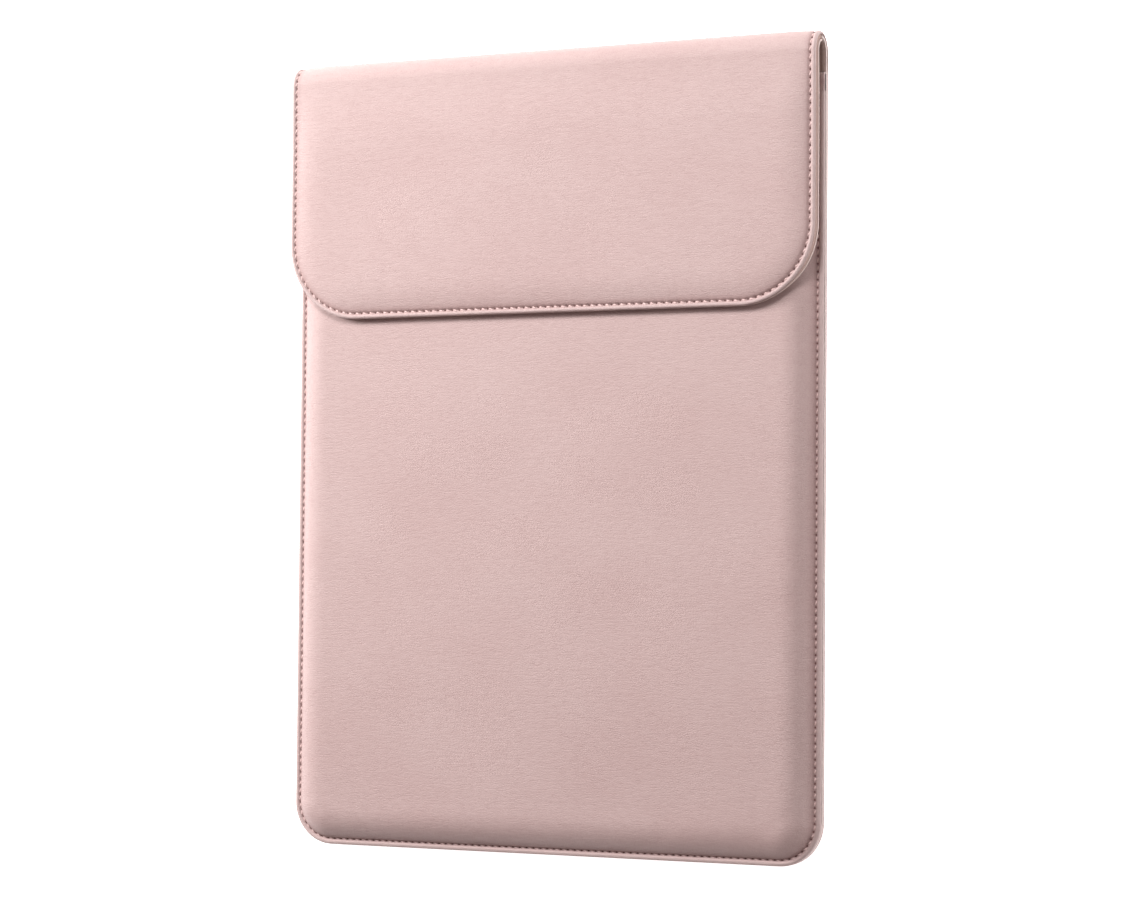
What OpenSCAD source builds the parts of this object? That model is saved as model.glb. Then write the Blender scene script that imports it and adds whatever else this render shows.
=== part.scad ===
// Laptop sleeve: an envelope of padded leather with a fold-over flap, lying on its back.
// X runs across the width, Y from the bottom edge towards the fold, and the front with
// its flap faces up. The back rests on Z = 0, with the origin in its middle.
// The modules draw the sleeve standing, with its front towards -Y, and it is laid on its
// back at the end, so "height" and "top" below are those of the standing sleeve.
// The back panel, the fold and the flap are one sheet of four layers. The front panel
// is dished over the back panel, so that the empty pocket keeps its room.

/* [Sleeve] */
// Width across the side seams
sleeve_w = 252; // [220:1:380]
// Height from the bottom edge to the top of the fold
sleeve_h = 345; // [300:1:480]
// Radius of the two bottom corners
body_corner_r = 18.5; // [17.5:0.5:30]
// Distance from the top of the fold down to the pocket's mouth
mouth_drop = 16; // [15:0.5:30]
// Room inside the empty pocket, from front to back
pocket_gap = 5.3; // [4.5:0.1:12]

/* [Flap] */
// How far the flap hangs below the top of the fold
flap_drop = 113; // [85:1:150]
// Radius of the flap's two corners
flap_corner_r = 34; // [20:1:50]
// Free space between the front panel and the closed flap
flap_gap = 0.6; // [0.6:0.1:2]

/* [Layers] */
// Thickness of every leather skin
skin_t = 1; // [0.8:0.1:1.4]
// Foam in the back panel, the fold and the flap
sheet_foam_t = 1.2; // [1:0.1:3]
// Foam in the front panel
front_foam_t = 1.2; // [1:0.1:3]
// Stiffening boards of the back panel and the flap
board_t = 0.5; // [0.4:0.1:1]
// Lining of the back panel, the fold and the flap
sheet_lining_t = 0.9; // [0.6:0.1:1.2]
// Lining of the front panel
front_lining_t = 0.7; // [0.5:0.1:1]
// How far the stitched rim lies below the crown of each padded sheet
rim_drop = 0.6; // [0.4:0.1:0.9]

/* [Edges] */
// Width of the flat rim that carries the stitches
rim_w = 4.5; // [4:0.5:6]
// Distance from the edge at which the padding reaches its full height
crown_at = 16.5; // [12:0.5:17]
// How far the foam stops short of the edge, which leaves the groove between the skins
groove = 0.8; // [0.4:0.1:1.5]
// Distance from the edge to the stiffening boards
board_inset = 8; // [7:0.5:11]
// Height of the hem folded over the mouth of the front panel
hem_h = 8; // [6:0.5:12]

/* [Stitching] */
// Distance from the edge to the middle of the seam
seam_inset = 2.6; // [2:0.1:3.4]
// Width of the thread
thread_w = 0.6; // [0.4:0.1:0.8]
// How far the thread stands off the leather
thread_t = 0.25; // [0.2:0.05:0.3]

/* [Closure] */
// Diameter of the magnet discs
magnet_d = 12; // [8:1:12]
// Distance from the sleeve's middle to each magnet
magnet_x = 60; // [30:1:60]
// Height of the magnets above the flap's lower edge
magnet_up = 26; // [24:1:32]
// Play between a magnet and its pocket in the foam, all round
magnet_play = 0.1; // [0.05:0.05:0.3]

/* [Hidden] */
$fn = 96;

leather_color = "#d9b5b2";
lining_color = "#b9aea4";
foam_color = "#8f8a86";
board_color = "#4a4a4c";
magnet_color = "#b8bcc0";
thread_color = "#e6c6c3";

// Depths within the sheet of the back, fold and flap, counted from its outer face
foam_at = skin_t;
board_at = foam_at + sheet_foam_t;
lining_at = board_at + board_t;
sheet_t = lining_at + sheet_lining_t;

// Depths of the front panel, counted from the outer face of the back panel.
// Its rim lies on the back lining, and its middle stands off by the pocket's room.
front_rim_lining = sheet_t;
front_rim_skin = front_rim_lining + front_lining_t;
front_rim_top = front_rim_skin + skin_t;
front_lining_at = sheet_t + pocket_gap;
front_foam_at = front_lining_at + front_lining_t;
front_skin_at = front_foam_at + front_foam_t;
front_top = front_skin_at + skin_t;

sleeve_d = front_top + flap_gap + sheet_t;
fold_r = sleeve_d / 2;
fold_z = sleeve_h - fold_r;
mouth_z = sleeve_h - mouth_drop;
flap_z = sleeve_h - flap_drop;
half_w = sleeve_w / 2;

// The fold bends along two lines that lie level with this height above the fold's centre,
// where the path over the two lines is as long as the leather round the fold
hinge_lift = fold_r * (PI / 2 - 1);
cut_angle = asin(hinge_lift / fold_r);
cut_gap = 1.5;
panel_end = cut_angle - cut_gap;
fold_start = cut_angle + cut_gap;
fold_end = 180 - fold_start;

back_board_top = mouth_z - 6;
flap_board_top = fold_z - 10;
magnet_z = flap_z + magnet_up;

// Profiles are lists of points: x runs inwards from the edge, y is the depth.
// A layer has depths a and b at its two faces, on the rim and in the middle.
function layer(edge, a_rim, a_mid, b_rim, b_mid, reach) = [
    [edge, a_rim], [rim_w, a_rim], [crown_at, a_mid], [reach, a_mid],
    [reach, b_mid], [crown_at, b_mid], [rim_w, b_rim], [edge, b_rim]
];
function slab(edge, a, b, reach) = [[edge, a], [reach, a], [reach, b], [edge, b]];

function skin_profile(reach) = layer(0, rim_drop, 0, skin_t + rim_drop, skin_t, reach);
function lining_profile(reach) = slab(0, lining_at, sheet_t, reach);
function foam_profile(reach) =
    layer(groove, foam_at + rim_drop, foam_at, lining_at, lining_at, reach);
function board_profile(reach) = slab(board_inset, board_at, lining_at, reach);
function seam_profile(depth) =
    slab(seam_inset - thread_w / 2, depth, depth + thread_t, seam_inset + thread_w / 2);

// Foam with the recess for the board on its inner face
function recessed_foam_profile(reach) = [
    [groove, foam_at + rim_drop], [rim_w, foam_at + rim_drop], [crown_at, foam_at],
    [reach, foam_at], [reach, board_at], [board_inset, board_at],
    [board_inset, lining_at], [groove, lining_at]
];

// Depths of the front panel's layers, rim and middle
function front_skin_profile(reach) =
    layer(0, front_rim_skin, front_skin_at, front_rim_top, front_top, reach);
function front_lining_profile(reach) =
    layer(0, front_rim_lining, front_lining_at, front_rim_skin, front_foam_at, reach);
function front_foam_profile(reach) = [
    [rim_w, front_rim_skin], [crown_at, front_foam_at], [reach, front_foam_at],
    [reach, front_skin_at], [crown_at, front_skin_at]
];
function front_whole_profile(reach) =
    layer(0, front_rim_lining, front_lining_at, front_rim_top, front_top, reach);

module both_sides() {
    children();
    mirror([1, 0, 0]) children();
}

// The standing sleeve laid on its back, with its middle over the origin
module laid_flat() {
    translate([0, -sleeve_h / 2, sleeve_d / 2]) rotate([-90, 0, 0]) children();
}

// Depth counted forwards from the back face, or backwards from the flap's face
module from_back() {
    translate([0, sleeve_d / 2, 0]) mirror([0, 1, 0]) children();
}
module from_front() {
    translate([0, -sleeve_d / 2, 0]) children();
}

// A profile carried down the left side, round both corners and up the right side
module swept_rim(z_low, z_top, r, points) {
    both_sides() {
        translate([-half_w, 0, z_low + r])
            linear_extrude(z_top - z_low - r) polygon(points);
        translate([r - half_w, 0, z_low + r])
            rotate([-90, 0, 0]) rotate([0, 0, 90])
                rotate_extrude(angle = 90) polygon([for (p = points) [r - p[0], p[1]]]);
    }
    translate([r - half_w, 0, z_low]) rotate([0, 90, 0]) mirror([1, 0, 0])
        linear_extrude(sleeve_w - 2 * r) polygon(points);
}

// The same with its middle filled, from profile points that reach in as far as r
module swept_panel(z_low, z_top, r, points) {
    depths = [for (p = points) if (p[0] == r) p[1]];
    swept_rim(z_low, z_top, r, points);
    translate([r - half_w, min(depths), z_low + r])
        cube([sleeve_w - 2 * r, max(depths) - min(depths), z_top - z_low - r]);
}

// A straight stretch of sheet between two heights
module straight(z_low, z_top, points) {
    both_sides() translate([-half_w, 0, z_low])
        linear_extrude(z_top - z_low) polygon(points);
}

// A stretch of sheet over the fold, by angles from the top of the back panel
module over_fold(from, to, points) {
    both_sides() translate([0, 0, fold_z]) rotate([0, 90, 0]) rotate([0, 0, 90 + from])
        rotate_extrude(angle = to - from)
            polygon([for (p = points) [fold_r - p[1], p[0] - half_w]]);
}

// The rounded end of the back panel's sheet, and of the flap's
module back_turn(points) {
    over_fold(0, panel_end, points);
}
module flap_turn(points) {
    mirror([0, 1, 0]) over_fold(0, panel_end, points);
}

// Round discs at the two closure points, between two depths
module closure_discs(a, b, d) {
    both_sides() translate([-magnet_x, a, magnet_z]) rotate([-90, 0, 0])
        cylinder(d = d, h = b - a);
}

// ---- Back panel ----
module back_shell() {
    color(leather_color) {
        from_back() swept_panel(0, fold_z, body_corner_r, skin_profile(body_corner_r));
        back_turn(skin_profile(half_w));
    }
}

module back_foam() {
    color(foam_color) {
        from_back() {
            swept_panel(0, back_board_top, body_corner_r,
                recessed_foam_profile(body_corner_r));
            straight(back_board_top, fold_z, foam_profile(half_w));
        }
        back_turn(foam_profile(half_w));
    }
}

module back_board() {
    color(board_color) from_back()
        swept_panel(0, back_board_top, body_corner_r, board_profile(body_corner_r));
}

module back_lining() {
    color(lining_color) {
        from_back() swept_panel(0, fold_z, body_corner_r, lining_profile(body_corner_r));
        back_turn(lining_profile(half_w));
    }
}

// ---- Front panel ----
module front_shell() {
    color(leather_color) from_back() swept_panel(0, mouth_z - hem_h, body_corner_r,
        front_skin_profile(body_corner_r));
}

module front_foam() {
    color(foam_color) from_back() difference() {
        swept_panel(0, mouth_z - skin_t, body_corner_r,
            front_foam_profile(body_corner_r));
        closure_discs(front_foam_at - 1, front_skin_at + 1, magnet_d + 2 * magnet_play);
    }
}

module front_magnets() {
    color(magnet_color) from_back() closure_discs(front_foam_at, front_skin_at, magnet_d);
}

module front_lining() {
    color(lining_color) from_back() swept_panel(0, mouth_z - hem_h, body_corner_r,
        front_lining_profile(body_corner_r));
}

// Leather strip folded over the top edge of the front panel
module mouth_hem() {
    color(leather_color) from_back() difference() {
        straight(mouth_z - hem_h, mouth_z, front_whole_profile(half_w));
        straight(mouth_z - hem_h - 1, mouth_z - skin_t, front_foam_profile(half_w));
    }
}

// ---- Stitching of the body ----
module mouth_stitching() {
    run = half_w - crown_at;
    color(thread_color) from_back()
        translate([-run, front_top, mouth_z - hem_h / 2])
            cube([2 * run, thread_t, thread_w]);
}

module seam_stitching() {
    color(thread_color) from_back()
        swept_rim(0, mouth_z, body_corner_r, seam_profile(front_rim_top));
}

module seam_back_stitching() {
    color(thread_color) {
        from_back() swept_rim(0, fold_z, body_corner_r, seam_profile(rim_drop - thread_t));
        back_turn(seam_profile(rim_drop - thread_t));
    }
}

// ---- Fold ----
module fold_shell() {
    color(leather_color) over_fold(fold_start, fold_end, skin_profile(half_w));
}

module fold_foam() {
    color(foam_color) over_fold(fold_start, fold_end, foam_profile(half_w));
}

module fold_lining() {
    color(lining_color) over_fold(fold_start, fold_end, lining_profile(half_w));
}

module fold_stitching() {
    color(thread_color)
        over_fold(fold_start, fold_end, seam_profile(rim_drop - thread_t));
}

module fold_inner_stitching() {
    color(thread_color) over_fold(fold_start, fold_end, seam_profile(sheet_t));
}

// ---- Flap ----
module flap_shell() {
    color(leather_color) {
        from_front()
            swept_panel(flap_z, fold_z, flap_corner_r, skin_profile(flap_corner_r));
        flap_turn(skin_profile(half_w));
    }
}

module flap_foam() {
    color(foam_color) {
        from_front() {
            difference() {
                swept_panel(flap_z, flap_board_top, flap_corner_r,
                    recessed_foam_profile(flap_corner_r));
                closure_discs(foam_at - 1, board_at + 1, magnet_d + 2 * magnet_play);
            }
            straight(flap_board_top, fold_z, foam_profile(half_w));
        }
        flap_turn(foam_profile(half_w));
    }
}

module flap_board() {
    color(board_color) from_front()
        swept_panel(flap_z, flap_board_top, flap_corner_r, board_profile(flap_corner_r));
}

module flap_magnets() {
    color(magnet_color) from_front() closure_discs(foam_at, board_at, magnet_d);
}

module flap_lining() {
    color(lining_color) {
        from_front()
            swept_panel(flap_z, fold_z, flap_corner_r, lining_profile(flap_corner_r));
        flap_turn(lining_profile(half_w));
    }
}

module flap_stitching() {
    color(thread_color) {
        from_front()
            swept_rim(flap_z, fold_z, flap_corner_r, seam_profile(rim_drop - thread_t));
        flap_turn(seam_profile(rim_drop - thread_t));
    }
}

module flap_inner_stitching() {
    color(thread_color) {
        from_front() swept_rim(flap_z, fold_z, flap_corner_r, seam_profile(sheet_t));
        flap_turn(seam_profile(sheet_t));
    }
}

laid_flat() back_shell();
laid_flat() back_foam();
laid_flat() back_board();
laid_flat() back_lining();
laid_flat() front_shell();
laid_flat() front_foam();
laid_flat() front_magnets();
laid_flat() front_lining();
laid_flat() mouth_hem();
laid_flat() mouth_stitching();
laid_flat() seam_stitching();
laid_flat() seam_back_stitching();
laid_flat() fold_shell();
laid_flat() fold_foam();
laid_flat() fold_lining();
laid_flat() fold_stitching();
laid_flat() fold_inner_stitching();
laid_flat() flap_shell();
laid_flat() flap_foam();
laid_flat() flap_board();
laid_flat() flap_magnets();
laid_flat() flap_lining();
laid_flat() flap_stitching();
laid_flat() flap_inner_stitching();
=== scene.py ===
import math

import bpy
import numpy as np
from mathutils import Matrix, Vector


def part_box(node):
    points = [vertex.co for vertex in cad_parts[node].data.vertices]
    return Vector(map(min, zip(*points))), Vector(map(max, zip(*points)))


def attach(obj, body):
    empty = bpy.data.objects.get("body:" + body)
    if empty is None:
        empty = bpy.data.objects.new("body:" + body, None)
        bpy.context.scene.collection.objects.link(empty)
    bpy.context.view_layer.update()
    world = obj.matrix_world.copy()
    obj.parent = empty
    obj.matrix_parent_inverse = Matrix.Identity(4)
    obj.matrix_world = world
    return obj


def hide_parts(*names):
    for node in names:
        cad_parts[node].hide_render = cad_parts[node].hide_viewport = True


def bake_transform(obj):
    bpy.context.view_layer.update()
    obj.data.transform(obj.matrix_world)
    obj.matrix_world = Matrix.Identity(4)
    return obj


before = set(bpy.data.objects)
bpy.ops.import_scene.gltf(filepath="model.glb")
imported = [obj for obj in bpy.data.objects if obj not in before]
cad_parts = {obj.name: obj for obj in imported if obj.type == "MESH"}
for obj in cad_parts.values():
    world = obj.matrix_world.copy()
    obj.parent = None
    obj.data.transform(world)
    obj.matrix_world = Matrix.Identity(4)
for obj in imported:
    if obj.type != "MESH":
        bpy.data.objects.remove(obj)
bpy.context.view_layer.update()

# ---------------------------------------------------------------- sizes, in millimetres
MM = 0.001


def edge(node, side, axis):
    """One coordinate of a CAD node's box: side 0 is its low corner, 1 its high one."""
    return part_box(node)[side][axis] / MM


HALF_W = edge("back_shell", 1, 0)
WIDTH = 2 * HALF_W
Y_LOW = edge("back_shell", 0, 1)
Y_APEX = edge("fold_shell", 1, 1)
Y_MOUTH = edge("mouth_hem", 1, 1)
Y_HEM = edge("mouth_hem", 0, 1)
Y_FLAP = edge("flap_shell", 0, 1)
TOP = edge("flap_shell", 1, 2)
SHEET = edge("front_lining", 0, 2)
FRONT_TOP = edge("front_shell", 1, 2)
FOLD_R = TOP / 2
Y_FOLD = Y_APEX - FOLD_R
Q_APEX = Y_FOLD + FOLD_R * math.pi / 2
BODY_R = 18.5           # lower corners of the back and front panels
FLAP_R = 34.0           # lower corners of the flap
SKIN = 1.0              # thickness of the leather
LOOP_OUT = 1.3          # how far the fold bows out past a half circle

PITCH_BODY = 3.3        # from stitch to stitch
PITCH_FLAP = 3.5
SEAM_BODY = 2.6         # from the edge in to the row of stitches
SEAM_FLAP = 2.3
CELL = 1.65             # coarse mesh cells in the middle of a panel
SPLIT = 3               # fine cells to a coarse one along the edge

LINING_T = 0.7          # thickness of the front lining
POCKET = 5.3            # room inside the empty pocket
RIM_DROP = 0.6          # depth of the rim of the back and the flap, in from the CAD face
FLAP_RISE = 1.1         # how far the flap's middle stands up past the CAD face
RELIEF_END = 16.0       # inset up to which the sewing shows in the relief
PAD_BACK = 16.0         # inset at which the back's padding has its full height
PAD_DEEP = 19.0         # the same for the front and the flap, which rise more steeply
STEEP = 3.0             # power of that rise
RIM_IN, RIM_OUT = 4.5, 16.5     # insets between which an inner face comes up from the rim
OVERLAP = 0.35          # how far each half of the sheet runs on past the apex
APART = 400             # shifts the front's grain, so that it does not repeat the back's


# ---------------------------------------------------------------- small helpers
def smooth(u):
    u = np.clip(u, 0.0, 1.0)
    return u * u * (3 - 2 * u)


def bell(v, width):
    return np.exp(-((v / width) ** 2))


def from_hole(s, pitch):
    """Distance along a seam to the nearest needle hole, signed."""
    return np.mod(s + pitch / 2, pitch) - pitch / 2


def waves(x, q, seed, size):
    """Smooth seeded unevenness of about -1 to 1, with features of about size mm."""
    count = 7
    rng = np.random.default_rng(seed)
    total = np.zeros_like(x, dtype=float)
    for _ in range(count):
        angle, phase = rng.uniform(0, math.pi), rng.uniform(0, 2 * math.pi)
        k = 2 * math.pi / (size * rng.uniform(0.7, 1.6))
        total += np.sin(k * (x * math.cos(angle) + q * math.sin(angle)) + phase)
    return total / math.sqrt(count) / 1.6


def mesh_object(name, verts, faces, materials, face_slots=None, fields=None):
    """verts in mm; fields are point attributes, floats or vectors."""
    mesh = bpy.data.meshes.new(name)
    mesh.from_pydata((np.asarray(verts, float) * MM).tolist(), [], faces)
    for m in materials:
        mesh.materials.append(m)
    if face_slots is not None:
        mesh.polygons.foreach_set("material_index", np.asarray(face_slots, np.int32))
    for key, values in (fields or {}).items():
        values = np.asarray(values, np.float32)
        kind, prop = ("FLOAT_VECTOR", "vector") if values.ndim == 2 else ("FLOAT", "value")
        mesh.attributes.new(key, kind, "POINT").data.foreach_set(prop, values.ravel())
    mesh.polygons.foreach_set("use_smooth", np.ones(len(mesh.polygons), bool))
    mesh.update()
    obj = bpy.data.objects.new(name, mesh)
    bpy.context.scene.collection.objects.link(obj)
    return obj


# ---------------------------------------------------------------- where a sheet lies
def place_back(x, q, t):
    """The sheet of the back, up to the top of the fold. t is the depth in from its face."""
    a = np.clip((q - Y_FOLD) / FOLD_R, 0, None)
    y = np.where(q > Y_FOLD, Y_FOLD + (FOLD_R - t) * np.sin(a) + LOOP_OUT * np.sin(a) ** 2, q)
    z = np.where(q > Y_FOLD, FOLD_R - (FOLD_R - t) * np.cos(a), t)
    return np.stack([x, y, z], -1)


def place_flap(x, q, t):
    p = place_back(x, q, t)
    p[..., 2] = TOP - p[..., 2]
    return p


def place_front(x, q, t):
    return np.stack([x, q, FRONT_TOP - t], -1)


def cloth_back(x, q, t):
    return np.stack([x, q, t], -1)


def cloth_flap(x, q, t):
    return np.stack([x, 2 * Q_APEX - q, -t], -1)


def cloth_front(x, q, t):
    return np.stack([x + APART, q, t], -1)


# ---------------------------------------------------------------- relief from simulation
def simulated_crown(name, width, height, seed):
    """How a pressed-out sheet held along its rim stands up: a function of x and q, 0 at
    the rim to about 1. A sheet with a little spare cloth is inflated and read back."""
    step = 5.0              # mesh cell, in mm
    frames = 20
    cap = 3.0               # rise in mm at which the crown is 1 - 1/e of its height
    nx, nq = int(width / step) + 1, int(height / step) + 1
    xs = np.linspace(-width / 2, width / 2, nx)
    qs = np.linspace(0, height, nq)
    gx, gq = np.meshgrid(xs, qs, indexing="ij")
    lift = 0.4 * waves(gx, gq, seed, 30.0)
    verts = np.stack([gx, gq, lift], -1).reshape(-1, 3)
    faces = [(i * nq + j, (i + 1) * nq + j, (i + 1) * nq + j + 1, i * nq + j + 1)
             for i in range(nx - 1) for j in range(nq - 1)]
    obj = mesh_object(name, verts, faces, [])
    rim = np.minimum(np.minimum(gx + width / 2, width / 2 - gx), gq).reshape(-1)
    held = np.nonzero((rim < step * 0.6) | (gq.reshape(-1) > height - 0.5))[0].tolist()
    group = obj.vertex_groups.new(name="held")
    group.add(held, 1.0, "REPLACE")
    cloth = obj.modifiers.new("Cloth", "CLOTH")
    cloth.settings.quality = 6
    cloth.settings.mass = 0.3
    cloth.settings.vertex_group_mass = "held"
    cloth.settings.use_pressure = True
    cloth.settings.uniform_pressure_force = 4
    cloth.settings.shrink_min = -0.012
    cloth.settings.effector_weights.gravity = 0
    cloth.collision_settings.use_collision = False
    cloth.point_cache.frame_start = 1
    cloth.point_cache.frame_end = frames
    scene = bpy.context.scene
    for f in range(1, frames + 1):
        scene.frame_set(f)
    done = obj.evaluated_get(bpy.context.evaluated_depsgraph_get())
    rise = np.array([v.co.z for v in done.data.vertices]).reshape(nx, nq) / MM
    scene.frame_set(1)
    bpy.data.objects.remove(obj)
    rise = 1 - np.exp(-np.abs(rise) / cap)

    def sample(x, q):
        u = np.clip((x + width / 2) * (nx - 1) / width, 0, nx - 1.001)
        v = np.clip(q * (nq - 1) / height, 0, nq - 1.001)
        i, j = u.astype(int), v.astype(int)
        fu, fv = smooth(u - i), smooth(v - j)
        return ((rise[i, j] * (1 - fu) + rise[i + 1, j] * fu) * (1 - fv)
                + (rise[i, j + 1] * (1 - fu) + rise[i + 1, j + 1] * fu) * fv)

    return sample


# ---------------------------------------------------------------- panels with three sewn sides
class Panel:
    """A sheet open at its top and rounded at its two lower corners. Columns run in from
    the edge, rows run along it, and a grid fills the middle."""

    def __init__(self, q_low, rows_q, r, seam, pitch, cell=CELL, split=SPLIT):
        self.q_low, self.r, self.seam, self.pitch = q_low, r, seam, pitch
        rows_q = np.asarray(rows_q, float)      # from the top down to q_low + r
        nb = max(2, int(round(2 * (HALF_W - r) / cell)))
        nf = max(3, int(round(r * math.pi / 2 / cell)))
        self.nc, self.nb, self.nf, self.split = len(rows_q) - 1, nb, nf, split
        side = self._fine(rows_q, split)
        bottom = np.linspace(-(HALF_W - r), HALF_W - r, nb * split + 1)
        turn = np.linspace(0, math.pi / 2, nf * split + 1)
        # base point and inward direction of each fine column, and length along the seam
        one = np.ones
        bx = [-HALF_W * one(len(side)), -(HALF_W - r) - r * np.cos(turn[1:-1]), bottom,
              (HALF_W - r) + r * np.sin(turn[1:-1]), HALF_W * one(len(side))]
        bq = [side, q_low + r - r * np.sin(turn[1:-1]), q_low * one(len(bottom)),
              q_low + r - r * np.cos(turn[1:-1]), side[::-1]]
        dx = [one(len(side)), np.cos(turn[1:-1]), 0 * bottom, -np.sin(turn[1:-1]),
              -one(len(side))]
        dq = [0 * side, np.sin(turn[1:-1]), one(len(bottom)), np.cos(turn[1:-1]), 0 * side]
        self.bx, self.bq = np.concatenate(bx), np.concatenate(bq)
        self.dx, self.dq = np.concatenate(dx), np.concatenate(dq)
        sx, sq = self.bx + self.dx * seam, self.bq + self.dq * seam
        self.s = np.concatenate([[0], np.cumsum(np.hypot(np.diff(sx), np.diff(sq)))])
        self.length = self.s[-1]
        self.pitch = self.length / round(self.length / pitch)
        self.cols_f = len(self.bx)
        self.coarse = np.arange(0, self.cols_f, split)
        self.grid_x = np.linspace(-(HALF_W - r), HALF_W - r, nb + 1)
        self.grid_q = rows_q[::-1]
        self.core = []
        for k in range(len(self.coarse)):
            if k <= self.nc:
                self.core.append((0, self.nc - k))
            elif k < self.nc + nf:
                self.core.append((0, 0))
            elif k <= self.nc + nf + nb:
                self.core.append((k - self.nc - nf, 0))
            elif k < self.nc + 2 * nf + nb:
                self.core.append((nb, 0))
            else:
                self.core.append((nb, k - self.nc - 2 * nf - nb))

    @staticmethod
    def _fine(values, split):
        parts = [np.linspace(a, b, split, endpoint=False) for a, b in zip(values, values[1:])]
        return np.concatenate(parts + [[values[-1]]])

    def rim_points(self, d, fine):
        """Flat x, q, inset and seam length of every column at inset d."""
        c = slice(None) if fine else self.coarse
        return (self.bx[c] + self.dx[c] * d, self.bq[c] + self.dq[c] * d,
                np.full(len(self.bx[c]), float(d)), self.s[c])

    def middle_points(self):
        x, q = np.meshgrid(self.grid_x, self.grid_q, indexing="ij")
        d = np.minimum(np.minimum(x + HALF_W, HALF_W - x), q - self.q_low)
        return x.ravel(), q.ravel(), d.ravel(), np.zeros(x.size)

    def seam_point(self, s, d):
        """Flat x, q and the inward direction at a length s along the seam, inset d."""
        x = np.interp(s, self.s, self.bx + self.dx * d)
        q = np.interp(s, self.s, self.bq + self.dq * d)
        return x, q, np.interp(s, self.s, self.dx), np.interp(s, self.s, self.dq)

    def build(self, name, rows, surfaces, place, cloth, materials, fields=(), flip=False):
        """rows: (inset, surface, extra depth, fine) from one middle round to the other.
        The first and last rows join the middle grids of their surfaces."""
        flat, faces, index = [], [], 0

        def add(points, surface, extra):
            nonlocal index
            x, q, d, s = points
            t = surfaces[surface](x, q, d, s) + extra
            flat.append(np.stack([x, q, t, d, s, np.full(len(x), float(surface))], -1))
            index += len(x)
            return np.arange(index - len(x), index)

        def face(*ids):
            out = [int(ids[0])]
            for i in ids[1:]:
                if i != out[-1]:
                    out.append(int(i))
            if out[0] == out[-1]:
                out.pop()
            if len(out) > 2:
                faces.append(tuple(out[::-1] if flip else out))

        def middle(surface, turned):
            ids = add(self.middle_points(), surface, 0.0).reshape(self.nb + 1, self.nc + 1)
            for i in range(self.nb):
                for j in range(self.nc):
                    quad = (ids[i, j], ids[i + 1, j], ids[i + 1, j + 1], ids[i, j + 1])
                    face(*(quad[::-1] if turned else quad))
            return np.array([ids[c] for c in self.core])

        def across(core):
            """The middle grid's top row of points, from the first core point's corner."""
            return [core[0] + i * (self.nc + 1) for i in range(self.nb + 1)]

        ends = []
        previous = middle(rows[0][1], True)
        previous_fine, first_end = False, across(previous)
        for d, surface, extra, fine in rows:
            now = add(self.rim_points(d, fine), surface, extra)
            self._strip(face, previous, previous_fine, now, fine)
            previous, previous_fine = now, fine
            ends.append((now[0], now[-1]))
        last = middle(rows[-1][1], False)
        self._strip(face, previous, previous_fine, last, False)
        # the end at the top is closed with one long narrow face
        face(*first_end, *[e[1] for e in ends], *across(last)[::-1], *[e[0] for e in ends[::-1]])

        data = np.concatenate(flat)
        x, q, t, d, s, surface = data.T
        verts = place(x, q, t)
        values = {"cloth": cloth(x, q, t)}
        for key, function in fields:
            values[key] = function(x, q, d, s, surface)
        obj = mesh_object(name, verts, faces, materials, None, values)
        rim = set(obj.data.polygons[len(faces) - 1].edge_keys)
        for e in obj.data.edges:
            if e.key in rim:
                e.use_edge_sharp = True
        return obj

    def _strip(self, face, a, a_fine, b, b_fine):
        n = self.split
        if a_fine == b_fine:
            for k in range(len(a) - 1):
                face(a[k], a[k + 1], b[k + 1], b[k])
        elif b_fine:
            for k in range(len(a) - 1):
                face(a[k], a[k + 1], *[b[(k + 1) * n - m] for m in range(n + 1)])
        else:
            for k in range(len(b) - 1):
                face(*[a[k * n + m] for m in range(n + 1)], b[k + 1], b[k])


def rounded_rows(r_out, r_in, outer_fine, outer_coarse, under_fine, under_coarse):
    """Rows of a closed skin: inner face, rounded edge, outer face. Surface 1 is the
    inner face, 0 the outer one."""
    rows = [(d, 1, 0.0, False) for d in under_coarse]
    rows += [(d, 1, 0.0, True) for d in under_fine]
    for a in (0.0, 30.0, 60.0):
        a = math.radians(a)
        rows.append((r_in * (1 - math.sin(a)), 1, -r_in * (1 - math.cos(a)), True))
    rows.append((0.0, 1, -r_in, True))
    for a in (90.0, 67.5, 45.0, 22.5, 0.0):
        a = math.radians(a)
        rows.append((r_out * (1 - math.sin(a)), 0, r_out * (1 - math.cos(a)), True))
    rows += [(d, 0, 0.0, True) for d in outer_fine]
    rows += [(d, 0, 0.0, False) for d in outer_coarse]
    return rows


def seam_relief(d, s, seam, pitch):
    """Depth added by the sewing: a bead outside the seam, a valley along it with a
    deeper dimple at every needle hole, and fine puckers on the padded side."""
    fade = np.where(d < RELIEF_END, 1.0, 0.0)
    hole = bell(from_hole(s, pitch), 0.42)
    valley = 0.34 * bell(d - seam, 0.62) + 0.34 * hole * bell(d - seam, 0.5)
    bead = -0.20 * np.sin(np.clip(d / seam, 0, 1) * math.pi) ** 2
    pucker = (0.05 * np.cos(2 * math.pi * s / pitch) * np.exp(-np.clip(d - seam, 0, None) / 1.6)
              * smooth((d - seam) / 0.8))
    return (valley + bead + pucker) * fade


def crown(d, start, end, power=2.2):
    """0 at the start of the padding to 1 at its full height, steep beside the seam."""
    u = np.clip((d - start) / (end - start), 0, 1)
    return 1 - (1 - u) ** power


# painted shade in the needle holes: 1 at each hole along the outer face's seam, fading round it
def hole_shade_field(panel):
    def values(x, q, d, s, surface):
        near = bell(from_hole(s, panel.pitch), 0.5) * bell(d - panel.seam, 0.55)
        return np.where((surface == 0) & (d < panel.r * 0.9), near, 0.0)
    return values


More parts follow.
